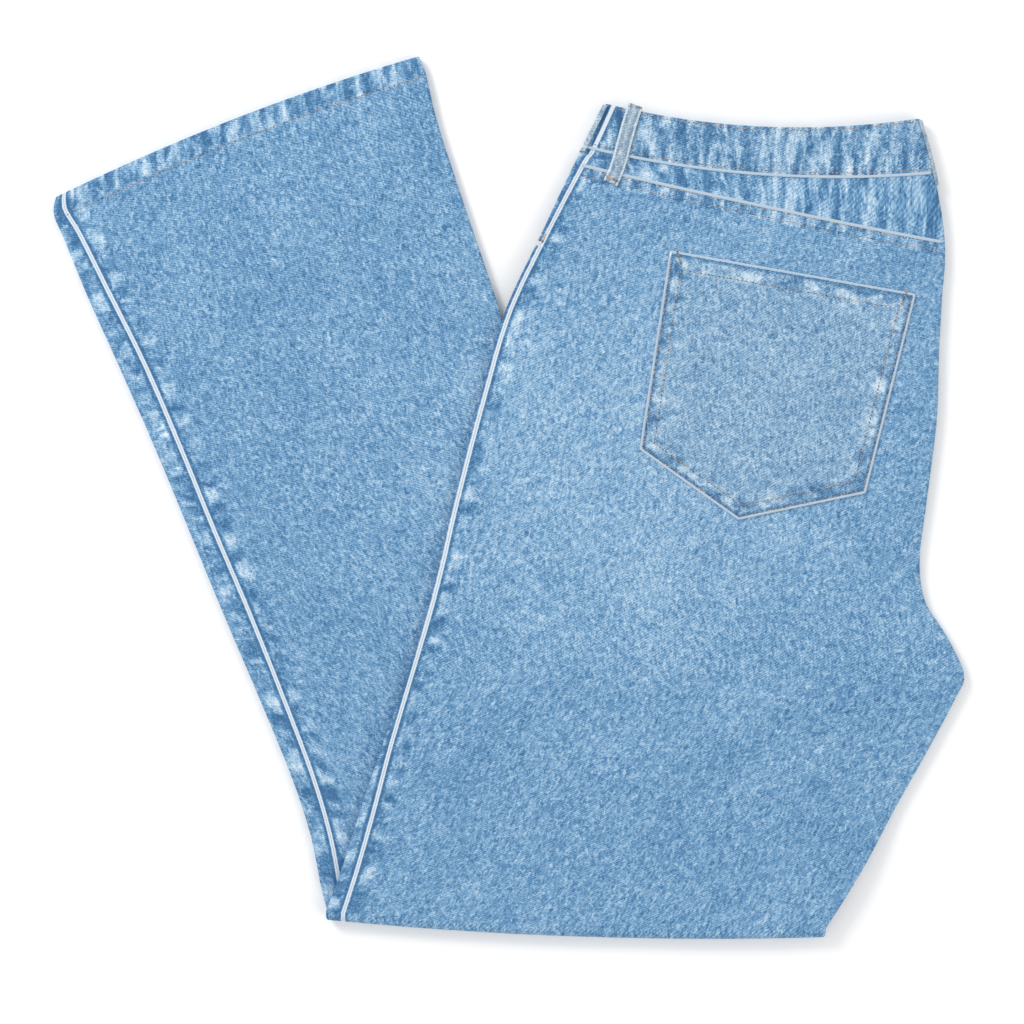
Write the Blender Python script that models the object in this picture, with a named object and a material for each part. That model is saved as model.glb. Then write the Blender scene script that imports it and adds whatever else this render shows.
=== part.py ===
"""Flared jeans, folded flat.

The jeans are folded in half along the centre back, backs outside, and laid on their right
leg. The lower legs are then folded under at the knee. From the top down the eight layers of
denim are: left back, left front, right front, right back (seat and thigh), and, under the
knee fold, right back, right front, left front, left back (lower leg).

Every piece is a wall of cloth placed by three numbers: the row it is on (a line across the
leg), e, the distance along that row from the outseam edge, and w, the height from the middle
of the four layers. Metres, +Z up, origin at the centre of the underside.
"""

import math
from collections import namedtuple

import bmesh
import bpy
from mathutils import Vector

MM = 0.001
CLOTH = 1.3 * MM  # wall of one layer of denim
GAP = 0.3 * MM  # clearance between pieces, and between layers
PITCH = CLOTH + GAP  # from the middle of one layer to the next
HALF = 2 * PITCH - GAP / 2  # half the height of four layers
BAND_CLOTH = 1.7 * MM  # the waistband is cloth turned double
BAND_PITCH = BAND_CLOTH + GAP
BAND_HALF = 2 * BAND_PITCH - GAP / 2
FOLD_Z = 2 * HALF + GAP / 2  # height of the knee fold's axis
FOLD_RADIUS = HALF + GAP / 2  # from that axis to the middle of the four layers
FOLD_STEPS = 5  # facets round the knee fold
COLUMNS = 14  # facets across a panel
TURN_STEPS = 4  # facets round a folded edge
FRONT_INSET = 4.5 * MM  # the centre front stops this far inside the centre back fold

# Rows across the leg, in millimetres. outer is the outseam edge, inner the centre back fold
# or the inseam; dip is how far the row's middle hangs towards the hem; strip is how much of
# the front turns over the outseam edge; inseam is 1 where the inner edge is the inseam.
Row = namedtuple("Row", "name outer_x outer_y inner_x inner_y dip strip inseam")
THIGH = [
    Row("waist top", 62.4, 251.8, 264.0, 242.5, 10.0, 5.0, 0),
    Row("waist seam", 48.3, 223.7, 273.6, 207.0, 9.4, 6.0, 0),
    Row("yoke seam", 42.2, 213.6, 280.6, 162.9, 1.6, 5.5, 0),
    Row("bartack", 20.2, 166.7, 278.7, 127.0, 1.3, 3.4, 0),
    Row("seat", -2.9, 116.8, 276.8, 92.5, 0.0, 3.2, 0),
    Row("hip", -19.5, 57.9, 275.4, 49.0, 0.0, 2.6, 0),
    Row("low hip", -34.9, -2.2, 269.1, -2.2, 0.0, 2.4, 0),
    Row("seat curve", -43.8, -40.6, 264.6, -40.6, 0.0, 2.4, 0),
    Row("rise curve", -50.9, -68.8, 268.2, -67.5, 0.0, 2.4, 0),
    Row("rise end", -57.3, -90.6, 281.6, -89.3, 0.0, 2.5, 0),
    Row("crotch", -64.3, -112.3, 292.8, -114.2, 0.0, 3.0, 1),
    Row("thigh top", -70.1, -129.6, 287.0, -130.2, 0.0, 3.6, 1),
    Row("thigh", -82.2, -163.5, 268.8, -164.2, 0.6, 5.8, 1),
    Row("low thigh", -94.4, -199.4, 248.9, -199.4, 1.3, 8.6, 1),
    Row("above knee", -106.6, -237.8, 226.9, -239.0, 3.2, 9.9, 1),
    Row("knee", -116.8, -265.4, 203.2, -276.6, 5.2, 11.0, 1),
]
LOWER_LEG = [
    THIGH[-1],
    Row("shin top", -120.6, -250.6, 186.6, -255.7, 5.1, 12.5, 1),
    Row("shin", -127.7, -216.0, 168.6, -218.6, 3.2, 12.9, 1),
    Row("calf top", -140.5, -177.6, 136.6, -172.5, 0.0, 14.0, 1),
    Row("calf", -161.6, -126.4, 102.1, -112.3, 0.0, 15.5, 1),
    Row("narrowest", -183.4, -75.2, 68.2, -49.6, -1.3, 16.4, 1),
    Row("flare start", -204.5, -24.0, 36.8, 13.8, -1.9, 15.4, 1),
    Row("flare", -225.6, 27.2, 8.6, 79.7, -2.6, 15.4, 1),
    Row("low flare", -248.0, 78.4, -11.8, 138.6, -3.2, 15.7, 1),
    Row("ankle", -271.0, 129.6, -31.7, 197.4, -3.8, 13.4, 1),
    Row("above hem", -285.1, 164.2, -45.8, 241.0, -3.8, 10.5, 1),
    Row("hem stitch", -292.2, 181.0, -53.1, 271.7, -4.5, 8.0, 1),
    Row("hem edge", -291.0, 192.2, -57.6, 282.8, -5.8, 6.0, 1),
]

# Back pocket: its five corners from the top one nearest the outseam, clockwise.
POCKET = [(103.6, 157.9), (261.2, 130.0), (228.9, 2.2), (147.3, -14.8), (84.0, 30.1)]
POCKET_MARGIN = 24 * MM  # the cloth is held up this far round the pocket it lies on
POCKET_SLOPE = 30 * MM  # and comes down to the table over this

# Front pocket mouth: a quarter ellipse about the top of the side seam.
MOUTH_CENTRE = (40.0, 228.0)
MOUTH_WIDTH = 92.0
MOUTH_DEPTH = 63.0
MOUTH_STEPS = 8

# What raises the thighs: the lower leg under them, the pocket and the bulky waist.
CALF_LIFT = 2 * HALF + GAP
CALF_LEAN = 0.89  # cosine of the lower leg's lean, turning a distance in X into one square to it
CALF_MARGIN = 22 * MM
CALF_SLOPE = 70 * MM
BAND_LIFT = BAND_HALF - HALF + PITCH
BAND_LEVEL_Y = 190 * MM
BAND_SLOPE = 70 * MM

# Belt loops that lie flat, from the waistband's top edge down: a row for each section of the
# middle line, with its height above the yoke, in millimetres.
Section = namedtuple("Section", "x y rise")
LOOP_WIDTH = 10 * MM
SIDE_LOOP = [
    Section(81.5, 250.5, 0.8),
    Section(77.6, 239.0, 0.8),
    Section(74.4, 228.0, 0.8),
    Section(70.8, 214.4, 0.8),
    Section(67.2, 205.6, 0.0),
    Section(65.6, 202.0, 0.0),
]
LOOP_BOW = 0.7 * MM  # the loop on top stands off the band; the one underneath is pressed flat
EDGE_LOOP_START = 0.05  # how much of the band shows above it
EDGE_LOOP_TAIL = 0.16  # how much of the yoke it reaches over

COLOURS = {
    "left_back": "6a93b5",
    "right_back": "5885ac",
    "left_front": "5580a6",
    "right_front": "5783aa",
    "left_yoke": "6690b3",
    "right_yoke": "608bb0",
    "left_facing": "6c98bb",
    "right_facing": "6390b4",
    "waistband": "6088ab",
    "left_back_pocket": "6f93b2",
    "right_back_pocket": "688eaf",
    "belt_loop": "91a2b1",
}


def linear(colour):
    """An sRGB hex colour as linear RGBA."""
    values = [int(colour[i : i + 2], 16) / 255 for i in (0, 2, 4)]
    return [v / 12.92 if v <= 0.04045 else ((v + 0.055) / 1.055) ** 2.4 for v in values] + [1]


def denim(name, colour):
    """Washed denim: matt, with a little fuzz."""
    material = bpy.data.materials.new(name + "_denim")
    material.use_nodes = True
    shader = material.node_tree.nodes["Principled BSDF"]
    shader.inputs["Base Color"].default_value = linear(colour)
    shader.inputs["Roughness"].default_value = 0.9
    shader.inputs["Sheen Weight"].default_value = 0.15
    return material


def ease(t):
    """0 before 0, 1 after 1, and a smooth step between."""
    t = min(1, max(0, t))
    return t * t * (3 - 2 * t)


def calf_edge_x(y):
    """X of the lower leg's inseam edge at height y in plan."""
    points = [(row.inner_y * MM, row.inner_x * MM) for row in LOWER_LEG]
    for (y0, x0), (y1, x1) in zip(points, points[1:]):
        if y <= y1 or y1 == points[-1][0]:
            return x0 + (x1 - x0) * (y - y0) / (y1 - y0)


def pocket_distance(x, y):
    """How far a point in plan is outside the pocket; negative inside it."""
    corners = [Vector(corner) * MM for corner in POCKET]
    distances = []
    for start, end in zip(corners, corners[1:] + corners[:1]):
        along = (end - start).normalized()
        outward = Vector((-along.y, along.x))
        distances.append((Vector((x, y)) - start).dot(outward))
    return max(distances)


def lift(x, y):
    """How far the thighs' lowest layer is above the table."""
    from_calf = (x - calf_edge_x(y)) * CALF_LEAN
    over_calf = CALF_LIFT * (1 - ease((from_calf - CALF_MARGIN) / CALF_SLOPE))
    over_pocket = PITCH * (1 - ease((pocket_distance(x, y) - POCKET_MARGIN) / POCKET_SLOPE))
    under_band = BAND_LIFT * ease((y - BAND_LEVEL_Y + BAND_SLOPE) / BAND_SLOPE)
    return max(over_calf, over_pocket, under_band)


def across(row):
    """A row's start and its whole run, in plan."""
    start = Vector((row.outer_x, row.outer_y, 0)) * MM
    return start, Vector((row.inner_x, row.inner_y, 0)) * MM - start


KNEE_RUN = across(THIGH[-1])[1].normalized()
FOLD_OUT = Vector((KNEE_RUN.y, -KNEE_RUN.x, 0))  # from the fold's axis to its crease, in plan


def place(station, e, w):
    """The point e along a row and w above the middle layer, as a position in space."""
    row, turn = station
    start, run = across(row)
    t = e / run.length
    spot = start + run * t
    spot.y -= 4 * row.dip * MM * t * (1 - t)
    if turn == 0:
        spot.z = lift(spot.x, spot.y) + HALF + w
    else:
        radius = FOLD_RADIUS + w
        spot += FOLD_OUT * (radius * math.sin(turn))
        spot.z = FOLD_Z + radius * math.cos(turn)
    return spot


def moved(row, distance):
    """The row moved square to itself, towards the hem."""
    run = across(row)[1].normalized() * distance / MM
    return row._replace(
        outer_x=row.outer_x + run.y,
        outer_y=row.outer_y - run.x,
        inner_x=row.inner_x + run.y,
        inner_y=row.inner_y - run.x,
    )


def between(row, other, t):
    """A row part of the way from one row to another."""
    mixed = [a + (b - a) * t for a, b in zip(row[1:], other[1:])]
    return Row("between", *mixed)


def thigh_rows(first, last):
    """Stations on the thigh, from one named row to another."""
    names = [row.name for row in THIGH]
    return [(row, 0) for row in THIGH[names.index(first) : names.index(last) + 1]]


def leg_stations():
    """Stations from the yoke seam over the knee fold to the hem."""
    upper = thigh_rows("yoke seam", "knee")
    bend = [(THIGH[-1], math.pi * step / FOLD_STEPS) for step in range(1, FOLD_STEPS)]
    return upper + bend + [(row, math.pi) for row in LOWER_LEG]


# A wall's path across the leg is a list of steps: e, w, and the cloth's outward direction.
Step = namedtuple("Step", "e w out_e out_w")


def arc(centre_e, centre_w, radius, start, end, steps=TURN_STEPS):
    """Steps round a folded edge, from one angle to another, in degrees."""
    path = []
    for number in range(steps + 1):
        angle = math.radians(start + (end - start) * number / steps)
        out_e, out_w = math.cos(angle), math.sin(angle)
        path.append(Step(centre_e + radius * out_e, centre_w + radius * out_w, out_e, out_w))
    return path


def columns(row, first):
    """Places along a row from first to the start of the inner edge's fold."""
    last = across(row)[1].length - HALF
    return [first + (last - first) * number / COLUMNS for number in range(COLUMNS + 1)]


def back_path(station):
    """A back: flat from the outseam, then half way round the inner edge."""
    row = station[0]
    width = across(row)[1].length
    level = 1.5 * PITCH
    flat = [Step(e, level, 0, 1) for e in columns(row, row.strip * MM + GAP / 2)]
    centre_w = PITCH * row.inseam
    radius = level - centre_w
    stop = math.degrees(GAP / 2 / radius)
    return flat + arc(width - radius - CLOTH / 2, centre_w, radius, 90, stop)[1:]


def front_path(station):
    """A front: the strip on top of the outseam, the fold, then flat to the inner edge."""
    row = station[0]
    width = across(row)[1].length
    radius = PITCH / 2
    strip = row.strip * MM
    fold_e = radius + CLOTH / 2
    path = [Step(strip - GAP / 2, 1.5 * PITCH, 0, 1)]
    path += arc(fold_e, PITCH, radius, 90, 270)
    path += [Step(e, radius, 0, -1) for e in columns(row, strip)]
    centre_e = width - fold_e
    stop = math.degrees(GAP / 2 / radius)
    rounded = arc(centre_e, PITCH, radius, -90, -stop, 3)
    plain_e = width - FRONT_INSET
    turned = 0 if row.name == "crotch" else row.inseam  # below the crotch it meets the back
    for number, step in enumerate(rounded):
        plain = Step(plain_e + number * CLOTH / 4, radius, 0, -1)
        path.append(Step(*[p + (r - p) * turned for p, r in zip(plain, step)]))
    return path


def pocket_path(station):
    """The layer that lies on a back, where its pocket is cut from."""
    row = station[0]
    return [Step(e, 2.5 * PITCH, 0, 1) for e in columns(row, row.strip * MM + GAP / 2)]


def band_path(station):
    """The waistband from the centre front round the left side to the centre back."""
    row = station[0]
    width = across(row)[1].length
    fold_e = BAND_PITCH / 2 + BAND_CLOTH / 2
    plain = [e for e in columns(row, fold_e) if e < width - FRONT_INSET - BAND_HALF]
    left = [Step(e, BAND_PITCH / 2, 0, -1) for e in reversed(plain[1:])]
    left += arc(fold_e, BAND_PITCH, BAND_PITCH / 2, 270, 90)
    left += [Step(e, 1.5 * BAND_PITCH, 0, 1) for e in plain[1:]]
    left += arc(width - BAND_HALF, 0, 1.5 * BAND_PITCH, 90, 0)
    right = [Step(e, -w, out_e, -out_w) for e, w, out_e, out_w in reversed(left[:-1])]
    return left + right


def centre_loop_path(station):
    """The belt loop at the centre back, wrapped round the fold."""
    width = across(station[0])[1].length
    return arc(width - BAND_HALF, 0, BAND_HALF + GAP + CLOTH / 2, 52, -52)


def front_loop_path(station):
    """A front belt loop, on the waistband's side fold."""
    fold_e = BAND_PITCH / 2 + BAND_CLOTH / 2
    return arc(fold_e, BAND_PITCH, fold_e + GAP + CLOTH / 2, 95, 215)


def finish(name, bm, colour):
    """Make a closed mesh into a named object with its own denim."""
    bmesh.ops.recalc_face_normals(bm, faces=bm.faces[:])
    if bm.calc_volume(signed=True) < 0:
        bmesh.ops.reverse_faces(bm, faces=bm.faces[:])
    mesh = bpy.data.meshes.new(name)
    bm.to_mesh(mesh)
    bm.free()
    mesh.materials.append(denim(name, COLOURS[colour]))
    piece = bpy.data.objects.new(name, mesh)
    bpy.context.collection.objects.link(piece)
    return piece


def wall(name, stations, path, side=1, thickness=CLOTH, colour=None):
    """A wall of cloth along a path, over the stations; side -1 is the right leg's mirror."""
    paths = [path(station) for station in stations]
    across_count, along_count = len(paths[0]) - 1, len(stations) - 1
    bm = bmesh.new()
    bmesh.ops.create_grid(bm, x_segments=across_count, y_segments=along_count, size=0.5)
    bmesh.ops.triangulate(bm, faces=bm.faces[:], quad_method="ALTERNATE")
    raised = bmesh.ops.extrude_face_region(bm, geom=bm.faces[:])["geom"]
    outer = {item for item in raised if isinstance(item, bmesh.types.BMVert)}
    for vertex in bm.verts:
        column = round((vertex.co.x + 0.5) * across_count)
        line = round((vertex.co.y + 0.5) * along_count)
        step = paths[line][column]
        off = thickness / 2 if vertex in outer else -thickness / 2
        e = step.e + off * step.out_e
        w = step.w + off * step.out_w
        vertex.co = place(stations[line], e, side * w)
    return finish(name, bm, colour or name)


def strap(name, sections, side, bow):
    """A flat belt loop along its middle line, on the waistband and the top of the yoke."""
    middle = [Vector((section.x, section.y)) * MM for section in sections]
    bm = bmesh.new()
    count = len(sections) - 1
    bmesh.ops.create_grid(bm, x_segments=1, y_segments=count, size=0.5)
    raised = bmesh.ops.extrude_face_region(bm, geom=bm.faces[:])["geom"]
    outer = {item for item in raised if isinstance(item, bmesh.types.BMVert)}
    for vertex in bm.verts:
        line = round((vertex.co.y + 0.5) * count)
        ahead = middle[min(line + 1, count)] - middle[max(line - 1, 0)]
        square = Vector((-ahead.y, ahead.x)).normalized()
        spot = middle[line] + square * (vertex.co.x * LOOP_WIDTH)
        stand = bow if 0 < line < count - 1 else 0
        w = HALF + GAP + sections[line].rise * MM + stand
        if vertex in outer:
            w += CLOTH
        vertex.co = (spot.x, spot.y, lift(spot.x, spot.y) + HALF + side * w)
    return finish(name, bm, "belt_loop")


def cutter(name, outline):
    """An upright prism over an outline in plan, taller than the folded jeans."""
    bm = bmesh.new()
    corners = [bm.verts.new((x * MM, y * MM, -0.01)) for x, y in outline]
    face = bm.faces.new(corners)
    raised = bmesh.ops.extrude_face_region(bm, geom=[face])["geom"]
    top = [item for item in raised if isinstance(item, bmesh.types.BMVert)]
    bmesh.ops.translate(bm, verts=top, vec=(0, 0, 0.05))
    bmesh.ops.recalc_face_normals(bm, faces=bm.faces[:])
    mesh = bpy.data.meshes.new(name)
    bm.to_mesh(mesh)
    bm.free()
    prism = bpy.data.objects.new(name, mesh)
    prism.hide_render = True
    prism.display_type = "WIRE"
    bpy.context.collection.objects.link(prism)
    return prism


def cut(piece, prism, operation):
    """Trim a piece with a prism. EXACT turns some of these thin folded walls inside out."""
    boolean = piece.modifiers.new(operation.lower(), "BOOLEAN")
    boolean.operation = operation
    boolean.object = prism
    boolean.solver = "MANIFOLD"


def mouth_outline(clearance):
    """The front pocket's mouth, and everything above and outside it."""
    centre_x, centre_y = MOUTH_CENTRE
    outline = [(centre_x - 60, centre_y + 40), (centre_x + MOUTH_WIDTH - clearance, centre_y + 40)]
    for number in range(MOUTH_STEPS + 1):
        angle = math.pi / 2 * number / MOUTH_STEPS
        x = centre_x + (MOUTH_WIDTH - clearance) * math.cos(angle)
        outline.append((x, centre_y - (MOUTH_DEPTH - clearance) * math.sin(angle)))
    outline.append((centre_x - 60, centre_y - MOUTH_DEPTH + clearance))
    return outline


def main():
    for old in list(bpy.data.objects):
        bpy.data.objects.remove(old, do_unlink=True)
    pocket_prism = cutter("pocket_cutter", POCKET)
    mouth_prism = cutter("mouth_cutter", mouth_outline(0))
    facing_prism = cutter("facing_cutter", mouth_outline(GAP / MM))

    band_top, band_seam, yoke_seam = THIGH[:3]
    seam_above = (moved(band_seam, GAP / 2), 0)
    leg = leg_stations()
    back = [(moved(yoke_seam, GAP / 2), 0)] + leg[1:]
    yoke_middle = (between(band_seam, yoke_seam, 0.5), 0)
    front = [seam_above, yoke_middle] + leg
    yoke = [seam_above, yoke_middle, (moved(yoke_seam, -GAP / 2), 0)]
    facing = [seam_above, yoke_middle] + thigh_rows("yoke seam", "seat")
    pocket = thigh_rows("yoke seam", "seat curve")
    band = [(band_top, 0), (between(band_top, band_seam, 0.5), 0), (moved(band_seam, -GAP / 2), 0)]
    edge_loop = [(between(band_top, band_seam, EDGE_LOOP_START), 0), band[1], (band_seam, 0)]
    edge_loop.append((between(band_seam, yoke_seam, EDGE_LOOP_TAIL), 0))

    for side, leg_name in ((1, "left"), (-1, "right")):
        wall(leg_name + "_back", back, back_path, side)
        wall(leg_name + "_yoke", yoke, back_path, side)
        panel = wall(leg_name + "_front", front, front_path, side)
        cut(panel, mouth_prism, "DIFFERENCE")
        pocket_facing = wall(leg_name + "_facing", facing, front_path, side)
        cut(pocket_facing, facing_prism, "INTERSECT")
        patch = wall(leg_name + "_back_pocket", pocket, pocket_path, side)
        cut(patch, pocket_prism, "INTERSECT")
        wall(f"front_{leg_name}_loop", edge_loop, front_loop_path, side, colour="belt_loop")
        bow = LOOP_BOW if side == 1 else 0
        strap(f"side_back_{leg_name}_loop", SIDE_LOOP, side, bow)
    wall("waistband", band, band_path, thickness=BAND_CLOTH)
    wall("centre_back_loop", edge_loop, centre_loop_path, colour="belt_loop")


main()
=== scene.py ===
# %% [markdown]
# # A pair of folded flared jeans
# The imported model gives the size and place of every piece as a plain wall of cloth. This
# script makes the looks: a fine shell on the form of each wall, with its seams, topstitching,
# puckers and washed denim. All lengths are metres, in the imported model's own frame.

# %% The fixed frame
import math
from collections import namedtuple

import bmesh
import bpy
from mathutils import Matrix, Vector, noise


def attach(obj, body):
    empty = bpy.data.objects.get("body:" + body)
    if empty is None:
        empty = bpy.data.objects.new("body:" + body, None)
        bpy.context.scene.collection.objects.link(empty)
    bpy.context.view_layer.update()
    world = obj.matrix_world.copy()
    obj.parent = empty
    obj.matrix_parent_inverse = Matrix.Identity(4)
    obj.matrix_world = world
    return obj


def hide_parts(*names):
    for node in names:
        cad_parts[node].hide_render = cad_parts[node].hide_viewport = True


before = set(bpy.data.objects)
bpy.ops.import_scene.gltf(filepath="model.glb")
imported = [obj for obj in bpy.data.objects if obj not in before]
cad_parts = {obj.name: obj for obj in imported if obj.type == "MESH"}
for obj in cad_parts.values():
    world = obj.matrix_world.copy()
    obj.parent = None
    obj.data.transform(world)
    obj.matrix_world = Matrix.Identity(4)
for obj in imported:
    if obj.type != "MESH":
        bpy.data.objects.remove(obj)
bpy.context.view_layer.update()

# %% [markdown]
# ## The cut of the cloth
# A leg is described by rows: lines across it from the outseam edge to the inner edge. These
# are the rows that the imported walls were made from, so the shells lie where the walls do.
# Between them a smooth curve is read, so an edge has no corners where the real one has none.

# %% Rows across the leg
MM = 0.001
CLOTH = 1.3 * MM
GAP = 0.3 * MM
PITCH = CLOTH + GAP
HALF = 2 * PITCH - GAP / 2
BAND_CLOTH = 1.7 * MM
BAND_PITCH = BAND_CLOTH + GAP
BAND_HALF = 2 * BAND_PITCH - GAP / 2
FOLD_Z = 2 * HALF + GAP / 2
FOLD_RADIUS = HALF + GAP / 2

Row = namedtuple("Row", "name outer_x outer_y inner_x inner_y dip strip inseam")
THIGH = [
    Row("waist top", 62.4, 251.8, 264.0, 242.5, 10.0, 5.0, 0),
    Row("waist seam", 48.3, 223.7, 273.6, 207.0, 9.4, 6.0, 0),
    Row("yoke seam", 42.2, 213.6, 280.6, 162.9, 1.6, 5.5, 0),
    Row("bartack", 20.2, 166.7, 278.7, 127.0, 1.3, 3.4, 0),
    Row("seat", -2.9, 116.8, 276.8, 92.5, 0.0, 3.2, 0),
    Row("hip", -19.5, 57.9, 275.4, 49.0, 0.0, 2.6, 0),
    Row("low hip", -34.9, -2.2, 269.1, -2.2, 0.0, 2.4, 0),
    Row("seat curve", -43.8, -40.6, 264.6, -40.6, 0.0, 2.4, 0),
    Row("rise curve", -50.9, -68.8, 268.2, -67.5, 0.0, 2.4, 0),
    Row("rise end", -57.3, -90.6, 281.6, -89.3, 0.0, 2.5, 0),
    Row("crotch", -64.3, -112.3, 292.8, -114.2, 0.0, 3.0, 1),
    Row("thigh top", -70.1, -129.6, 287.0, -130.2, 0.0, 3.6, 1),
    Row("thigh", -82.2, -163.5, 268.8, -164.2, 0.6, 5.8, 1),
    Row("low thigh", -94.4, -199.4, 248.9, -199.4, 1.3, 8.6, 1),
    Row("above knee", -106.6, -237.8, 226.9, -239.0, 3.2, 9.9, 1),
    Row("knee", -116.8, -265.4, 203.2, -276.6, 5.2, 11.0, 1),
]
LOWER_LEG = [
    THIGH[-1],
    Row("shin top", -120.6, -250.6, 186.6, -255.7, 5.1, 12.5, 1),
    Row("shin", -127.7, -216.0, 168.6, -218.6, 3.2, 12.9, 1),
    Row("calf top", -140.5, -177.6, 136.6, -172.5, 0.0, 14.0, 1),
    Row("calf", -161.6, -126.4, 102.1, -112.3, 0.0, 15.5, 1),
    Row("narrowest", -183.4, -75.2, 68.2, -49.6, -1.3, 16.4, 1),
    Row("flare start", -204.5, -24.0, 36.8, 13.8, -1.9, 15.4, 1),
    Row("flare", -225.6, 27.2, 8.6, 79.7, -2.6, 15.4, 1),
    Row("low flare", -248.0, 78.4, -11.8, 138.6, -3.2, 15.7, 1),
    Row("ankle", -271.0, 129.6, -31.7, 197.4, -3.8, 13.4, 1),
    Row("above hem", -285.1, 164.2, -45.8, 241.0, -3.8, 10.5, 1),
    Row("hem stitch", -292.2, 181.0, -53.1, 271.7, -4.5, 8.0, 1),
    Row("hem edge", -291.0, 192.2, -57.6, 282.8, -5.8, 6.0, 1),
]
POCKET = [(103.6, 157.9), (261.2, 130.0), (228.9, 2.2), (147.3, -14.8), (84.0, 30.1)]
print(len(THIGH) + len(LOWER_LEG), "rows")


def row_at(rows, place_on):
    """The row part of the way down a table, on a smooth curve through its rows."""
    first = min(int(place_on), len(rows) - 2)
    t = place_on - first
    near = [rows[min(max(first + step, 0), len(rows) - 1)] for step in (-1, 0, 1, 2)]
    if t == 0:
        return near[1]
    mixed = []
    for before, a, b, after in zip(*[row[1:] for row in near]):
        curve = 2 * a + (b - before) * t + (2 * before - 5 * a + 4 * b - after) * t * t
        mixed.append((curve + (3 * a - before - 3 * b + after) * t**3) / 2)
    mixed[-1] = near[1].inseam + (near[2].inseam - near[1].inseam) * t
    return Row(near[1].name if near[1].inseam == near[2].inseam else "crotch gusset", *mixed)


def across(row):
    """A row's start and its whole run, in plan."""
    start = Vector((row.outer_x, row.outer_y, 0)) * MM
    return start, Vector((row.inner_x, row.inner_y, 0)) * MM - start


def moved(row, distance):
    """The row moved square to itself, towards the hem."""
    run = across(row)[1].normalized() * distance / MM
    return row._replace(
        outer_x=row.outer_x + run.y,
        outer_y=row.outer_y - run.x,
        inner_x=row.inner_x + run.y,
        inner_y=row.inner_y - run.x,
    )


# %% [markdown]
# ## How the layers lie
# The thighs lie on the lower legs, and come down to the table past their edge. Cloth is never
# flat: a slow, low noise makes the soft swells of a garment that was folded by hand.

# %% Height of the cloth over the table
CALF_LEAN = 0.89
CALF_REACH, CALF_SLOPE = 22 * MM, 70 * MM  # past its edge, where the thigh starts and ends its fall
POCKET_REACH, POCKET_SLOPE = 24 * MM, 30 * MM
BAND_START, BAND_SLOPE = 0.12, 70 * MM


def ease(t):
    """0 before 0, 1 after 1, and a smooth step between."""
    t = min(1, max(0, t))
    return t * t * (3 - 2 * t)


def calf_edge_x(y):
    """X of the lower leg's inseam edge at y."""
    points = [(row.inner_y * MM, row.inner_x * MM) for row in LOWER_LEG]
    for (y0, x0), (y1, x1) in zip(points, points[1:]):
        if y <= y1 or y1 == points[-1][0]:
            return x0 + (x1 - x0) * (y - y0) / (y1 - y0)


def outline_distance(x, y, outline):
    """How far a point is outside a convex outline given in mm; negative inside."""
    corners = [Vector(corner) * MM for corner in outline]
    distances = []
    for start, end in zip(corners, corners[1:] + corners[:1]):
        along = (end - start).normalized()
        distances.append((Vector((x, y)) - start).dot(Vector((-along.y, along.x))))
    return max(distances)


def lift(x, y):
    """How far the thighs' lowest layer is above the table."""
    past_calf = (x - calf_edge_x(y)) * CALF_LEAN
    past_pocket = outline_distance(x, y, POCKET)
    over_calf = (2 * HALF + GAP) * (1 - ease((past_calf - CALF_REACH) / CALF_SLOPE))
    over_pocket = PITCH * (1 - ease((past_pocket - POCKET_REACH) / POCKET_SLOPE))
    under_band = (BAND_HALF - HALF + PITCH) * ease((y - BAND_START) / BAND_SLOPE)
    return max(over_calf, over_pocket, under_band)


def swell(x, y):
    """The cloth's own soft unevenness."""
    slow = noise.noise((x * 14, y * 9, 3.1)) * 0.0005
    wrinkle = noise.noise((x * 60, y * 35, 7.7)) * 0.00012
    return slow + wrinkle


def swollen(spot):
    """A point moved up or down with the cloth's swells, which die away at the table."""
    spot.z += swell(spot.x, spot.y) * ease(spot.z / FOLD_Z)
    return spot


KNEE_RUN = across(THIGH[-1])[1].normalized()
FOLD_OUT = Vector((KNEE_RUN.y, -KNEE_RUN.x, 0))


def place(station, e, w):
    """The point e along a row and w above the middle layer, as a position in space."""
    row, turn = station
    start, run = across(row)
    t = e / run.length
    spot = start + run * t
    spot.y -= 4 * row.dip * MM * t * (1 - t)
    if turn == 0:
        spot.z = lift(spot.x, spot.y) + HALF + w
    else:
        radius = FOLD_RADIUS + w
        spot += FOLD_OUT * (radius * math.sin(turn))
        spot.z = FOLD_Z + radius * math.cos(turn)
    return spot


print("knee fold height", FOLD_Z, "swell at the pocket", swell(0.17, 0.07))

# %% [markdown]
# ## Shells of cloth
# Each piece is one grid of cells laid along a path and given its thickness by extruding it.
# The path says how the cloth crosses the leg: flat, then round a folded edge. A flat map of
# the piece in metres goes into its UV map, so the weave keeps its size and follows the cut.
# Three numbers go onto every point for the material: how far it is from the outseam, from the
# piece's top edge and from its lower edge.

# %% Paths across the leg
Step = namedtuple("Step", "e w out_e out_w")


def arc(centre_e, centre_w, radius, start, end, steps=8):
    """Steps round a folded edge, from one angle to another, in degrees."""
    path = []
    for number in range(steps + 1):
        angle = math.radians(start + (end - start) * number / steps)
        out_e, out_w = math.cos(angle), math.sin(angle)
        path.append(Step(centre_e + radius * out_e, centre_w + radius * out_w, out_e, out_w))
    return path


def columns(row, first, count=84):
    """Places along a row, closer together near its ends, where the seams are."""
    last = across(row)[1].length - HALF
    places = []
    for number in range(count + 1):
        t = number / count
        even = t - 0.12 * math.sin(2 * math.pi * t)
        places.append(first + (last - first) * even)
    return places


def back_path(station):
    """A back: flat from the outseam, then half way round the inner edge."""
    row = station[0]
    width = across(row)[1].length
    level = 1.5 * PITCH
    flat = [Step(e, level, 0, 1) for e in columns(row, row.strip * MM + 0.1 * MM)]
    centre_w = PITCH * row.inseam
    radius = level - centre_w
    stop = math.degrees(GAP / 2 / radius)
    return flat + arc(width - radius - CLOTH / 2, centre_w, radius, 90, stop)[1:]


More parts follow.
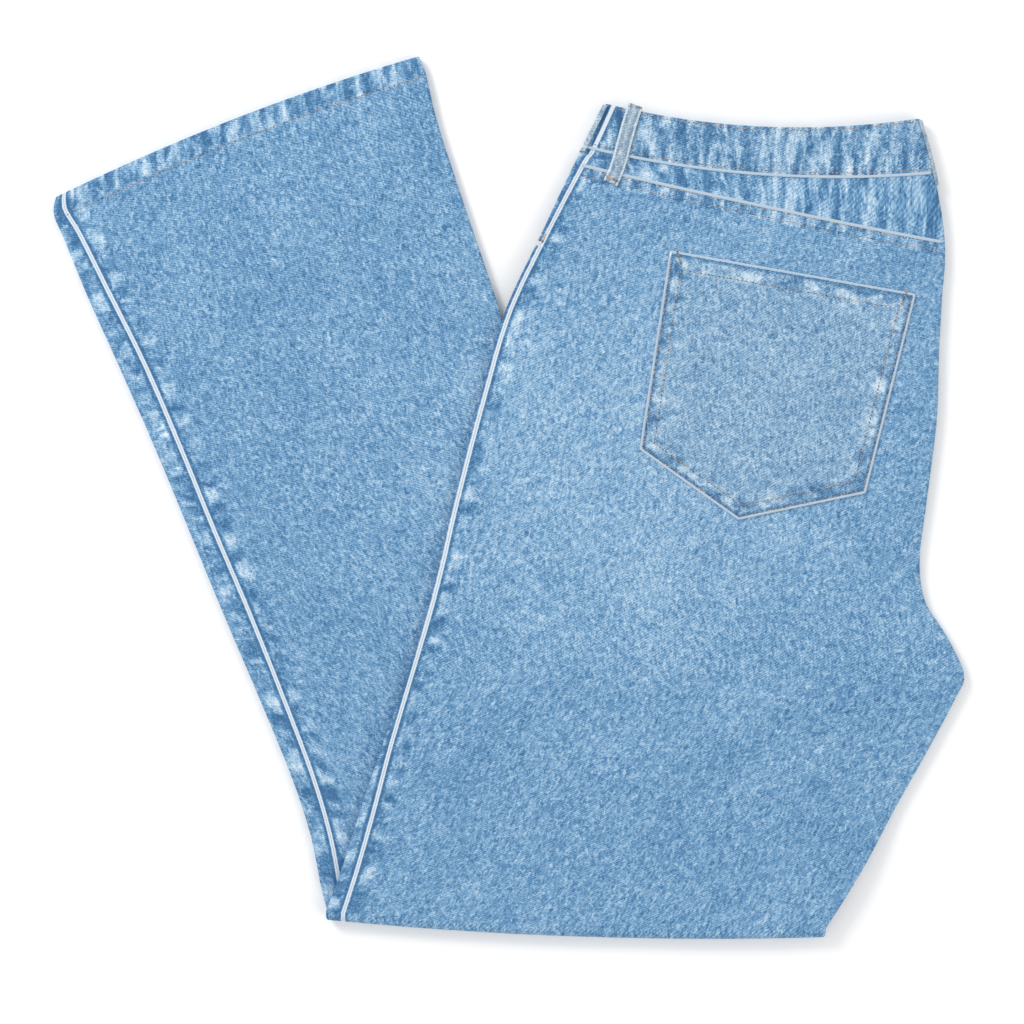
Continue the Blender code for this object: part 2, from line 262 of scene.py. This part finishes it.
def front_path(station):
    """A front: the strip on top of the outseam, the fold, then flat to the inner edge."""
    row = station[0]
    width = across(row)[1].length
    radius = PITCH / 2
    strip = row.strip * MM
    fold_e = radius + CLOTH / 2
    end = strip - 0.1 * MM
    path = [Step(end + (fold_e - end) * t / 6, 1.5 * PITCH, 0, 1) for t in range(6)]
    path += arc(fold_e, PITCH, radius, 90, 270)
    path += [Step(e, radius, 0, -1) for e in columns(row, strip, 40)]
    rounded = arc(width - fold_e, PITCH, radius, -90, -math.degrees(GAP / 2 / radius), 3)
    turned = 0 if row.name in ("crotch", "crotch gusset") else row.inseam
    for number, step in enumerate(rounded):
        plain = Step(width - 0.0045 + number * CLOTH / 4, radius, 0, -1)
        path.append(Step(*[p + (r - p) * turned for p, r in zip(plain, step)]))
    return path


def band_path(station):
    """The waistband from the centre front round both sides and the centre back."""
    row = station[0]
    width = across(row)[1].length
    fold_e = BAND_PITCH / 2 + BAND_CLOTH / 2
    plain = [e for e in columns(row, fold_e) if e < width - 0.0045 - BAND_HALF]
    left = [Step(e, BAND_PITCH / 2, 0, -1) for e in reversed(plain[1:])]
    left += arc(fold_e, BAND_PITCH, BAND_PITCH / 2, 270, 90)
    left += [Step(e, 1.5 * BAND_PITCH, 0, 1) for e in plain[1:]]
    left += arc(width - BAND_HALF, 0, 1.5 * BAND_PITCH, 90, 0)
    right = [Step(e, -w, out_e, -out_w) for e, w, out_e, out_w in reversed(left[:-1])]
    return left + right


# %% Making a shell
def smooth_stations(rows, turn, step=0.16, first=0, last=None):
    """Stations down a table of rows, several to each row."""
    last = len(rows) - 1 if last is None else last
    count = max(1, round((last - first) / step))
    return [(row_at(rows, first + (last - first) * n / count), turn) for n in range(count + 1)]


def slab(wide, long):
    """A closed slab of cells to shape, its outer points, and the layers the cloth needs."""
    bm = bmesh.new()
    flat_map = bm.loops.layers.uv.new("UVMap")
    names = ("seam", "from_top", "from_hem")
    layers = [bm.verts.layers.float.new(name) for name in names]  # before any point is held
    bmesh.ops.create_grid(bm, x_segments=wide, y_segments=long, size=0.5)
    raised = bmesh.ops.extrude_face_region(bm, geom=bm.faces[:])["geom"]
    outer = {item for item in raised if isinstance(item, bmesh.types.BMVert)}
    return bm, outer, flat_map, layers


def lay_flat(bm, flat_map, spread):
    """Write each point's place on the flat cloth into the UV map."""
    for face in bm.faces:
        for loop in face.loops:
            loop[flat_map].uv = spread[loop.vert]
    bmesh.ops.recalc_face_normals(bm, faces=bm.faces[:])
    if bm.calc_volume(signed=True) < 0:
        bmesh.ops.reverse_faces(bm, faces=bm.faces[:])


def shell(name, stations, path, side=1, thickness=CLOTH, relief=None):
    """A wall of cloth along a path, over the stations; side -1 is the right leg's mirror."""
    paths = [path(station) for station in stations]
    wide, long = len(paths[0]) - 1, len(stations) - 1
    starts = [place(station, 0.1, 0) for station in stations]
    down = [0.0]
    for before, after in zip(starts, starts[1:]):
        down.append(down[-1] + (after - before).length)
    bm, outer, flat_map, (seam_layer, top_layer, hem_layer) = slab(wide, long)
    spread = {}
    for vertex in bm.verts:
        column = round((vertex.co.x + 0.5) * wide)
        line = round((vertex.co.y + 0.5) * long)
        step = paths[line][column]
        width = across(stations[line][0])[1].length
        here = place(stations[line], step.e, 0)
        raise_by = relief(here, step) if relief else 0
        off = thickness / 2 if vertex in outer else -thickness / 2
        e = step.e + off * step.out_e
        w = step.w + off * step.out_w + raise_by
        vertex[seam_layer] = abs(step.e - stations[line][0].strip * MM)
        vertex[top_layer] = down[line]
        vertex[hem_layer] = down[-1] - down[line]
        vertex.co = swollen(place(stations[line], e, side * w))
        spread[vertex] = (step.e - width / 2, -down[line])
    lay_flat(bm, flat_map, spread)
    return finish(name, bm)


def finish(name, bm, smooth=True):
    """Make a bmesh into a named object at the origin."""
    mesh = bpy.data.meshes.new(name)
    bm.to_mesh(mesh)
    bm.free()
    if smooth:
        mesh.shade_smooth()
        mesh.set_sharp_from_angle(angle=math.radians(50))
    piece = bpy.data.objects.new(name, mesh)
    bpy.context.scene.collection.objects.link(piece)
    print(name, len(mesh.polygons), "faces")
    return piece


# %% The leg panels, yokes and waistband
leg = smooth_stations(THIGH, 0, first=2)
bend = [(THIGH[-1], math.pi * step / 14) for step in range(1, 14)]
leg += bend + smooth_stations(LOWER_LEG, math.pi)
yoke = smooth_stations(THIGH, 0, 0.08, 1, 2)
band = smooth_stations(THIGH, 0, 0.08, 0, 1)
facing = smooth_stations(THIGH, 0, 0.15, 1, 3.05)
pieces = {}
PUCKER = 0.00022


def facing_path(station):
    """A pocket facing: the strip, the fold and a hand's breadth of the layer below."""
    return front_path(station)[:30]


def pucker(here, step):
    """Little hills and hollows where the seam's stitches draw the cloth in."""
    if step.out_w < 0.99:
        return 0
    from_seam = step.e
    near = math.exp(-(((from_seam - 0.008) / 0.006) ** 2))
    return PUCKER * near * noise.noise((here.x * 30, here.y * 75, 1.0))


def band_relief(here, step):
    """Wavy hollows along the waistband, drawn in by the stitching at both edges."""
    return 0.0003 * step.out_w * noise.noise((here.x * 55, here.y * 45, 5.0))


for side, leg_name in ((1, "left"), (-1, "right")):
    pieces[leg_name + "_back"] = shell(leg_name + "_back_cloth", leg, back_path, side, relief=pucker)
    pieces[leg_name + "_front"] = shell(leg_name + "_front_cloth", leg[7:], front_path, side)
    pieces[leg_name + "_facing"] = shell(leg_name + "_facing_cloth", facing, facing_path, side)
    pieces[leg_name + "_yoke"] = shell(leg_name + "_yoke_cloth", yoke, back_path, side)
pieces["waistband"] = shell("waistband_cloth", band, band_path, 1, BAND_CLOTH, band_relief)

# %% [markdown]
# ## Patch pockets and belt loops
# A back pocket is a five-sided patch on the panel. One grid is stretched over the outline: its
# columns run from the straight top edge down to the point. A belt loop is a narrow folded
# strip, tacked down at both ends and standing a little off the waistband between them.

# %% Patch pockets
def on_thigh(x, y, w, side):
    """A point over the thigh, w above (or on side -1 below) its middle layer."""
    return swollen(Vector((x, y, lift(x, y) + HALF + side * w)))


def pocket_point(u, v):
    """The place in plan u across a pocket and v down it, in metres."""
    top_start, top_end, low_end, tip, low_start = [Vector(corner) * MM for corner in POCKET]
    tip_u = 0.437
    top = top_start.lerp(top_end, u)
    if u < tip_u:
        bottom = low_start.lerp(tip, u / tip_u)
    else:
        bottom = tip.lerp(low_end, (u - tip_u) / (1 - tip_u))
    return top.lerp(bottom, v)


def patch_pocket(name, side, wide=96, long=96):
    """A pocket patch that follows the cloth under it, with its edges pressed down."""
    bm, outer, flat_map, layers = slab(wide, long)
    spread = {}
    for vertex in bm.verts:
        u, v = vertex.co.x + 0.5, 0.5 - vertex.co.y
        spot = pocket_point(u, v)
        inside = -outline_distance(spot.x, spot.y, POCKET)
        w = HALF + 0.12 * MM
        if vertex in outer:
            w += CLOTH * min(1, 0.45 + inside / 0.0012)
            ripple = noise.noise((spot.x * 110, spot.y * 110, 2.0)) * math.exp(-inside / 0.008)
            w += 0.00025 * ripple - 0.0003 * math.exp(-(((inside - 0.006) / 0.003) ** 2))
        vertex.co = on_thigh(spot.x, spot.y, w, side)
        vertex[layers[0]] = inside
        vertex[layers[1]] = vertex[layers[2]] = 0.1
        spread[vertex] = (spot.x, spot.y)
    lay_flat(bm, flat_map, spread)
    return finish(name, bm)


for side, leg_name in ((1, "left"), (-1, "right")):
    pieces[leg_name + "_back_pocket"] = patch_pocket(leg_name + "_pocket_patch", side)

# %% Belt loops
LOOP_WIDTH = 9.6 * MM
Section = namedtuple("Section", "x y rise")
SIDE_LOOP = [
    Section(81.5, 250.8, 0.8),
    Section(79.4, 245.0, 1.3),
    Section(77.0, 237.5, 1.6),
    Section(74.4, 228.0, 1.6),
    Section(71.6, 217.0, 1.2),
    Section(69.4, 210.0, 0.5),
    Section(67.2, 205.0, 0.1),
    Section(65.2, 201.0, 0.0),
]


def belt_loop(name, side):
    """The side-back belt loop, along its middle line."""
    count = len(SIDE_LOOP) - 1
    bm, outer, flat_map, layers = slab(6, count)
    middle = [Vector((section.x, section.y)) * MM for section in SIDE_LOOP]
    spread = {}
    for vertex in bm.verts:
        line = round((0.5 - vertex.co.y) * count)
        ahead = middle[min(line + 1, count)] - middle[max(line - 1, 0)]
        square = Vector((-ahead.y, ahead.x)).normalized()
        spot = middle[line] + square * (vertex.co.x * LOOP_WIDTH)
        rise = SIDE_LOOP[line].rise * MM * (1 if side == 1 else 0.5)
        inside = (0.5 - abs(vertex.co.x)) * LOOP_WIDTH
        w = HALF + GAP + rise
        if vertex in outer:
            w += CLOTH * min(1, 0.5 + inside / 0.002)
        spread[vertex] = (vertex.co.x * LOOP_WIDTH, middle[line].y)
        vertex.co = on_thigh(spot.x, spot.y, w, side)
        vertex[layers[0]] = inside
        vertex[layers[1]] = vertex[layers[2]] = 0.1
    lay_flat(bm, flat_map, spread)
    return finish(name, bm)


def centre_loop_path(station):
    """The belt loop at the centre back, wrapped round the fold."""
    width = across(station[0])[1].length
    return arc(width - BAND_HALF, 0, BAND_HALF + GAP + CLOTH / 2, 52, -52)


def front_loop_path(station):
    """A front belt loop, on the waistband's side fold."""
    fold_e = BAND_PITCH / 2 + BAND_CLOTH / 2
    return arc(fold_e, BAND_PITCH, fold_e + GAP + CLOTH / 2, 95, 215)


edge = smooth_stations(THIGH, 0, 0.1, 0.05, 1.16)
pieces["centre_back_loop"] = shell("centre_back_loop_cloth", edge, centre_loop_path)
for side, leg_name in ((1, "left"), (-1, "right")):
    loop_node = f"side_back_{leg_name}_loop"
    pieces[loop_node] = belt_loop(loop_node + "_cloth", side)
    loop_node = f"front_{leg_name}_loop"
    pieces[loop_node] = shell(loop_node + "_cloth", edge, front_loop_path, side)

# %% [markdown]
# ## Topstitching and raised edges
# Denim is sewn with thick tan thread, about eleven stitches to 25 mm. Every stitch is its own
# small spindle lying on the cloth, and a whole seam's stitches are one mesh. The folded edge
# beside the thread wears pale first, so it is a low rounded bead of its own.

# %% Lines to sew
STITCH_PITCH = 2.4 * MM
STITCH_LENGTH = 1.9 * MM
THREAD = 0.30 * MM


def inset(outline, distance):
    """A convex outline moved inwards, in mm."""
    count = len(outline)
    edges = []
    for number in range(count):
        start, end = Vector(outline[number]), Vector(outline[(number + 1) % count])
        along = (end - start).normalized()
        inward = Vector((along.y, -along.x)) * distance
        edges.append((start + inward, along))
    corners = []
    for number in range(count):
        (a, along_a), (b, along_b) = edges[number - 1], edges[number]
        t = (b - a).cross(along_b) / along_a.cross(along_b)
        corners.append(tuple(a + along_a * t))
    return corners


def walked(points, spacing):
    """Points at even spacing along a line in space, with the direction there."""
    result, carried = [], spacing / 2
    for start, end in zip(points, points[1:]):
        run = end - start
        while carried < run.length:
            result.append((start + run.normalized() * carried, run.normalized()))
            carried += spacing
        carried -= run.length
    return result


def row_line(station, e_start, e_stop, w, side=1):
    """A line along a row, on the cloth."""
    points = []
    for number in range(121):
        e = e_start + (e_stop - e_start) * number / 120
        points.append(swollen(place(station, e, side * w)))
    return points


def plan_line(corners, w, side=1, steps=40):
    """A line through corners in plan, laid on the thigh."""
    points = []
    for start, end in zip(corners, corners[1:]):
        for number in range(steps):
            spot = Vector(start).lerp(Vector(end), number / steps) * MM
            points.append(on_thigh(spot.x, spot.y, w, side))
    return points


def sewn(name, lines, pitch=STITCH_PITCH, length=STITCH_LENGTH, thick=THREAD):
    """Stitches along lines, as one mesh of small spindles."""
    bm = bmesh.new()
    for line in lines:
        for spot, along in walked(line, pitch):
            turn = along.to_track_quat("X", "Z").to_matrix().to_4x4()
            size = Vector((length / 2, thick, thick * 0.8))
            matrix = Matrix.Translation(spot) @ turn @ Matrix.Diagonal(size.to_4d())
            bmesh.ops.create_icosphere(bm, subdivisions=1, radius=1, matrix=matrix)
    bmesh.ops.recalc_face_normals(bm, faces=bm.faces[:])
    return finish(name, bm)


def beading(name, lines, width, height):
    """Low rounded beads along lines: the folded edges of the seams."""
    bm = bmesh.new()
    for line in lines:
        ring_count = len(line)
        made = bmesh.ops.create_grid(bm, x_segments=8, y_segments=ring_count - 1, size=0.5)
        fresh = made["verts"]
        places = [v.co.copy() for v in fresh]
        for vertex, at in zip(fresh, places):
            number = round((at.y + 0.5) * (ring_count - 1))
            ahead = line[min(number + 1, ring_count - 1)] - line[max(number - 1, 0)]
            square = Vector((-ahead.y, ahead.x, 0)).normalized()
            angle = 2 * math.pi * (at.x + 0.5)
            up = Vector((0, 0, height * math.sin(angle)))
            vertex.co = line[number] + square * (width / 2 * math.cos(angle)) + up
    bmesh.ops.remove_doubles(bm, verts=bm.verts[:], dist=1e-6)
    open_edges = [e for e in bm.edges if e.is_boundary]
    bmesh.ops.holes_fill(bm, edges=open_edges, sides=12)
    bmesh.ops.recalc_face_normals(bm, faces=bm.faces[:])
    return finish(name, bm)


seam_parts = []
for side, leg_name in ((1, "left"), (-1, "right")):
    w_panel, w_band, w_patch = HALF + 0.1 * MM, BAND_HALF + 0.1 * MM, HALF + CLOTH + 0.25 * MM
    lines = []
    for row, offset, w in (
        (THIGH[0], 1.9, w_band),
        (THIGH[1], -3.4, w_band),
        (THIGH[2], 1.4, w_panel),
        (THIGH[2], 6.4, w_panel),
    ):
        station = (moved(row, offset * MM), 0)
        width = across(station[0])[1].length
        lines.append(row_line(station, row.strip * MM, width - 3 * MM, w, side))
    outer_line = inset(POCKET, 1.9)
    inner_line = inset(POCKET, 8.6)
    lines.append(plan_line([outer_line[n] for n in (1, 2, 3, 4, 0)], w_patch, side))
    lines.append(plan_line([inner_line[n] for n in (1, 2, 3, 4, 0)], w_patch, side))
    hem_of_pocket = inset(POCKET, 11.2)
    lines.append(plan_line([hem_of_pocket[0], hem_of_pocket[1]], w_patch, side))
    hem_station = (moved(LOWER_LEG[-1], 13.5 * MM), math.pi)
    hem_width = across(hem_station[0])[1].length
    lines.append(row_line(hem_station, 0.002, hem_width - 0.002, HALF + 0.1 * MM, side))
    seam_parts.append((sewn(leg_name + "_topstitch", lines), "thread", leg_name + "_back"))

    beads = []
    for row, offset, w, start in (
        (THIGH[1], -0.9, BAND_HALF - 0.2 * MM, 0.002),
        (THIGH[2], 0.0, HALF, THIGH[2].strip * MM),
    ):
        station = (moved(row, offset * MM), 0)
        width = across(station[0])[1].length
        beads.append(row_line(station, start, width - 3.2 * MM, w, side))
    seam_edges = beading(leg_name + "_seam_edges", beads, 2.0 * MM, 0.45 * MM)
    seam_parts.append((seam_edges, "edge", leg_name + "_yoke"))
    rim = inset(POCKET, 0.5)
    rim_line = plan_line([rim[n] for n in (0, 1, 2, 3, 4, 0)], HALF + CLOTH * 0.75, side)
    pocket_rim = beading(leg_name + "_pocket_rim", [rim_line], 1.3 * MM, 0.45 * MM)
    seam_parts.append((pocket_rim, "edge", leg_name + "_back_pocket"))

# %% Bartacks
def tack(centre, along, length, rows=7, width=1.7 * MM, w=HALF, side=1):
    """A bartack: close stitches laid across a short bar."""
    centre, along = Vector(centre) * MM, Vector(along).normalized()
    square = Vector((-along.y, along.x))
    lines = []
    for number in range(rows):
        start = centre + along * (length * (number / (rows - 1) - 0.5))
        ends = [start - square * width / 2, start + square * width / 2]
        lines.append([on_thigh(end.x, end.y, w, side) for end in ends])
    return lines


for side, leg_name in ((1, "left"), (-1, "right")):
    bars = []
    w_patch = HALF + CLOTH + 0.3 * MM
    bars += tack((109.5, 152.6), (0.3, -1), 9 * MM, 9, w=w_patch, side=side)
    bars += tack((254.0, 127.6), (-0.35, -1), 9 * MM, 9, w=w_patch, side=side)
    bars += tack((81.0, 249.4), (1, -0.12), 8 * MM, 9, w=BAND_HALF + CLOTH + 0.3 * MM, side=side)
    bars += tack((66.6, 203.6), (1, -0.45), 8 * MM, 9, w=HALF + CLOTH + 0.5 * MM, side=side)
    bars += tack((22.5, 165.5), (0.3, 1), 5 * MM, 6, w=HALF + 0.2 * MM, side=side)
    tacks = sewn(leg_name + "_bartacks", bars, pitch=1.7 * MM, length=1.8 * MM, thick=0.35 * MM)
    seam_parts.append((tacks, "thread", leg_name + "_back"))

# %% [markdown]
# ## Washed denim
# Denim is a steep twill of indigo warp over undyed weft. Stone washing takes the dye off every
# high thread, so the cloth is a mass of short pale flecks on blue, a hard wash leaves the seams
# nearly white at their folds, and a big soft patch fades on the seat. The dark band beside each
# seam is painted shadow, cast by the raised seam.
# Thread is 0.5 mm apart, too fine to show from this far, so the twill is drawn at 1.5 mm.

# %% Colours and a helper for nodes
TWILL = 1.5 * MM
FLECK = 2.6 * MM
WAVE_PERIOD = 0.314  # a wave texture's period at scale 1


def linear(colour):
    """An sRGB hex colour as linear RGBA."""
    values = [int(colour[i : i + 2], 16) / 255 for i in (0, 2, 4)]
    return [v / 12.92 if v <= 0.04045 else ((v + 0.055) / 1.055) ** 2.4 for v in values] + [1]


def add(tree, kind, settings=None, links=None):
    """Add a node, set its properties and input values, and link outputs into its inputs."""
    node = tree.nodes.new(kind)
    for key, value in (settings or {}).items():
        if isinstance(key, str) and hasattr(node, key):
            setattr(node, key, value)
        else:
            node.inputs[key].default_value = value
    for key, output in (links or {}).items():
        tree.links.new(output, node.inputs[key])
    return node


def new_material(name, roughness, sheen):
    """A Principled material with the given roughness and sheen."""
    material = bpy.data.materials.new(name)
    material.use_nodes = True
    tree = material.node_tree
    shader = tree.nodes["Principled BSDF"]
    shader.inputs["Roughness"].default_value = roughness
    shader.inputs["Sheen Weight"].default_value = sheen
    shader.inputs["Specular IOR Level"].default_value = 0.2
    return material, tree, shader


def ramp(tree, source, stops, interpolation="LINEAR"):
    """A colour ramp with the given (place, grey) stops."""
    node = add(tree, "ShaderNodeValToRGB", links={0: source})
    node.color_ramp.interpolation = interpolation
    while len(node.color_ramp.elements) < len(stops):
        node.color_ramp.elements.new(0.5)
    for element, (at, value) in zip(node.color_ramp.elements, stops):
        element.position = at
        element.color = linear(value) if isinstance(value, str) else (value, value, value, 1)
    return node.outputs["Color"]


def arithmetic(tree, operation, a, b):
    """One Math node on two values or outputs."""
    node = add(tree, "ShaderNodeMath", {"operation": operation})
    for number, value in enumerate((a, b)):
        if isinstance(value, (int, float)):
            node.inputs[number].default_value = value
        else:
            tree.links.new(value, node.inputs[number])
    return node.outputs[0]


# %% The denim
def denim(name, dark, middle, light, twill_lean=62, fade=0.0, seam_wear_and_shadow=1.0, band=False):
    """Stone-washed denim, from its dark, middle and light blues; the seam weight scales both the worn seam
    marks and the painted shadow beside the seams.
    """
    material, tree, shader = new_material(name, roughness=0.92, sheen=0.12)
    place_on = add(tree, "ShaderNodeTexCoord")
    cloth = place_on.outputs["UV"]
    lean = add(tree, "ShaderNodeMapping", {"Rotation": (0, 0, math.radians(twill_lean))}, {0: cloth})
    twill = add(
        tree,
        "ShaderNodeTexWave",
        {"Scale": WAVE_PERIOD / TWILL, "Distortion": 3.0, "Detail": 2.0, "Detail Scale": 1.5},
        {"Vector": lean.outputs[0]},
    )
    worms = add(
        tree,
        "ShaderNodeTexNoise",
        {"Scale": 1 / FLECK, "Detail": 3.0, "Roughness": 0.6, "Distortion": 1.6},
        {"Vector": cloth},
    )
    long_way = add(tree, "ShaderNodeMapping", {"Scale": (1.0, 0.35, 1.0)}, {0: cloth})
    slubs = add(
        tree,
        "ShaderNodeTexNoise",
        {"Scale": 1 / (2.2 * MM), "Detail": 2.0, "Distortion": 0.8},
        {"Vector": long_way.outputs[0]},
    )
    cloudy = add(tree, "ShaderNodeTexNoise", {"Scale": 22.0, "Detail": 4.0}, {"Vector": cloth})
    weave = arithmetic(tree, "MULTIPLY_ADD", worms.outputs["Fac"], 0.62)
    tree.nodes[-1].inputs[2].default_value = 0
    weave = arithmetic(tree, "ADD", weave, arithmetic(tree, "MULTIPLY", slubs.outputs["Fac"], 0.28))
    weave = arithmetic(tree, "ADD", weave, arithmetic(tree, "MULTIPLY", twill.outputs["Fac"], 0.07))
    cloud = arithmetic(tree, "MULTIPLY", arithmetic(tree, "SUBTRACT", cloudy.outputs["Fac"], 0.5), 0.10)
    weave = arithmetic(tree, "ADD", weave, cloud)

    # The faded patch on the seat, and the darker cloth towards the knee.
    spot = place_on.outputs["Object"]
    centre = add(tree, "ShaderNodeVectorMath", {"operation": "DISTANCE", 1: (0.09, 0.02, 0.012)}, {0: spot})
    patch = add(
        tree,
        "ShaderNodeMapRange",
        {
            "interpolation_type": "SMOOTHSTEP",
            "From Min": 0.02,
            "From Max": 0.23,
            "To Min": fade,
            "To Max": -fade * 0.4,
        },
        {"Value": centre.outputs["Value"]},
    )
    weave = arithmetic(tree, "ADD", weave, patch.outputs[0])

    # Beside the seams: worn white on the fold, a painted shadow behind it, worn puckers further in.
    seam = add(tree, "ShaderNodeAttribute", {"attribute_name": "seam"}).outputs["Fac"]
    top = add(tree, "ShaderNodeAttribute", {"attribute_name": "from_top"}).outputs["Fac"]
    hem = add(tree, "ShaderNodeAttribute", {"attribute_name": "from_hem"}).outputs["Fac"]
    seam_20 = arithmetic(tree, "MULTIPLY", seam, 50.0)
    white = ramp(tree, seam_20, [(0.0, 1.0), (0.05, 1.0), (0.075, 0.0)])
    # Painted shadow: a dark band just beside the seam's fold, where the raised edge would shade the cloth.
    shade = ramp(tree, seam_20, [(0.06, 0.0), (0.09, 1.0), (0.15, 0.6), (0.22, 0.0)])
    belt = ramp(tree, seam_20, [(0.12, 0.0), (0.25, 1.0), (0.5, 0.8), (0.75, 0.0)])
    if band:
        blob_scale, blob_stretch = 1 / (12 * MM), (1.0, 0.6, 1.0)
    else:
        blob_scale, blob_stretch = 1 / (11 * MM), (0.55, 1.0, 1.0)
    stretched = add(tree, "ShaderNodeMapping", {"Scale": blob_stretch}, {0: cloth})
    blobs = add(
        tree,
        "ShaderNodeTexNoise",
        {"Scale": blob_scale, "Detail": 1.5, "Distortion": 0.6},
        {"Vector": stretched.outputs[0]},
    )
    blob = arithmetic(tree, "SUBTRACT", blobs.outputs["Fac"], 0.5)
    band_top = ramp(tree, arithmetic(tree, "MULTIPLY", top, 50.0), [(0.0, 1.0), (0.4, 0.9), (0.5, 0.0)])
    band_hem = ramp(tree, arithmetic(tree, "MULTIPLY", hem, 50.0), [(0.0, 1.0), (0.68, 0.9), (0.75, 0.0)])
    narrow = add(tree, "ShaderNodeMapping", {"Scale": (1.0, 0.25, 1.0)}, {0: cloth})
    roping = add(
        tree,
        "ShaderNodeTexNoise",
        {"Scale": 1 / (6.5 * MM), "Detail": 2.0, "Distortion": 0.4},
        {"Vector": narrow.outputs[0]},
    )
    rope = arithmetic(tree, "SUBTRACT", roping.outputs["Fac"], 0.5)
    ends = arithmetic(tree, "MAXIMUM", band_top, band_hem)
    if band:
        ends = arithmetic(tree, "MAXIMUM", ends, 0.75)
    pucker_sum = arithmetic(tree, "MULTIPLY", arithmetic(tree, "MULTIPLY", blob, belt), 0.75 * seam_wear_and_shadow)
    rope_sum = arithmetic(tree, "MULTIPLY", arithmetic(tree, "MULTIPLY", rope, ends), 0.8 * seam_wear_and_shadow)
    weave = arithmetic(tree, "ADD", weave, pucker_sum)
    weave = arithmetic(tree, "ADD", weave, rope_sum)
    # The painted shadow beside the seams darkens the weave here.
    weave = arithmetic(tree, "SUBTRACT", weave, arithmetic(tree, "MULTIPLY", shade, 0.16 * seam_wear_and_shadow))

    colour = ramp(tree, weave, [(0.33, dark), (0.46, middle), (0.58, light), (0.74, "d9e5ee")])
    worn = add(
        tree,
        "ShaderNodeMix",
        {"data_type": "RGBA", 7: linear("dfe7ee")},
        {0: arithmetic(tree, "MULTIPLY", white, 0.85 * seam_wear_and_shadow), 6: colour},
    )
    tree.links.new(worn.outputs[2], shader.inputs["Base Color"])
    bump = add(tree, "ShaderNodeBump", {"Strength": 0.5, "Distance": 0.35 * MM}, {"Height": weave})
    tree.links.new(bump.outputs[0], shader.inputs["Normal"])
    return material


leg_denim = denim("stone_washed_denim", "3a6791", "6391b8", "9dbdd6", fade=0.035)
band_denim = denim("waistband_denim", "37628b", "5f8cb2", "a0bdd4", fade=0.0, band=True)
patch_denim = denim("pocket_denim", "416c94", "7199bb", "a9c3d7", fade=0.0, seam_wear_and_shadow=0.9)
loop_denim = denim("belt_loop_denim", "6f8ba5", "93a8b9", "c2ccd4", fade=0.0, seam_wear_and_shadow=0.6)
edge_denim = denim("worn_edge_denim", "9fb6c9", "ccd8e2", "e6ecf1", fade=0.0, seam_wear_and_shadow=0.0)


# %% The thread
def thread(name, colour, shade):
    """Spun polyester topstitching thread: tan, slightly shiny, with a fine noise mixing in a dark
    blue-grey.
    """
    material, tree, shader = new_material(name, roughness=0.6, sheen=0.0)
    spot = add(tree, "ShaderNodeTexCoord").outputs["Object"]
    dark_patches = add(tree, "ShaderNodeTexNoise", {"Scale": 420.0, "Detail": 2.0}, {"Vector": spot})
    mixed = ramp(tree, dark_patches.outputs["Fac"], [(0.42, shade), (0.56, colour)])
    tree.links.new(mixed, shader.inputs["Base Color"])
    return material


tan_thread = thread("tan_thread", "d9ac7c", "4a4f5c")
print("materials", len(bpy.data.materials))

# %% [markdown]
# ## Dressing the pieces
# Each shell stands for its packed wall and rides on the one rigid body.

# %% Finishes and what each piece stands for
for node, piece in pieces.items():
    if node == "waistband":
        finish_material, slot = band_denim, "denim"
    elif node.endswith("pocket"):
        finish_material, slot = patch_denim, "pocket_denim"
    elif node.endswith("loop"):
        finish_material, slot = loop_denim, "loop_denim"
    else:
        finish_material, slot = leg_denim, "denim"
    piece.data.materials.append(finish_material)
    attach(piece, "root")
    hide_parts(node)
for piece, kind, node in seam_parts:
    piece.data.materials.append(tan_thread if kind == "thread" else edge_denim)
    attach(piece, "root")

Cut = namedtuple("Cut", "node width length area")

# %% [markdown]
# ## Floor, light and camera
# A white floor and even, soft light from large lamps overhead: a garment shot flat. The camera
# looks straight down from 1.55 m through an 85 mm lens.

# %% Floor
bm = bmesh.new()
bmesh.ops.create_grid(bm, x_segments=1, y_segments=1, size=6.0)
bmesh.ops.translate(bm, verts=bm.verts[:], vec=(0, 0, -0.0006))
floor = finish("floor", bm, smooth=False)
floor_paint, _, floor_shader = new_material("white_board", roughness=0.9, sheen=0.0)
floor_shader.inputs["Base Color"].default_value = linear("fafafa")
floor.data.materials.append(floor_paint)


# %% Lights
def softbox(name, position, size, power):
    """A square area lamp aimed at the middle of the jeans."""
    lamp = bpy.data.lights.new(name, "AREA")
    lamp.size = size
    lamp.energy = power
    holder = bpy.data.objects.new(name, lamp)
    holder.location = position
    holder.rotation_euler = (-Vector(position)).to_track_quat("-Z", "Y").to_euler()
    bpy.context.scene.collection.objects.link(holder)


softbox("key_softbox", (-1.6, 1.5, 1.7), 0.9, 34)
softbox("fill_softbox", (1.8, -1.2, 2.0), 1.6, 14)
world = bpy.data.worlds.new("studio")
world.use_nodes = True
world.node_tree.nodes["Background"].inputs["Color"].default_value = (1, 1, 1, 1)
world.node_tree.nodes["Background"].inputs["Strength"].default_value = 0.80
bpy.context.scene.world = world
bpy.context.scene.view_settings.view_transform = "Standard"

# %% Camera
lens = bpy.data.cameras.new("overhead")
lens.lens = 85
lens.sensor_width = 36
camera = bpy.data.objects.new("overhead", lens)
camera.location = (0.00224, -0.00992, 1.547 + 0.012)
bpy.context.scene.collection.objects.link(camera)
bpy.context.scene.camera = camera

# %% Bringing the scene up to date
bpy.context.view_layer.update()
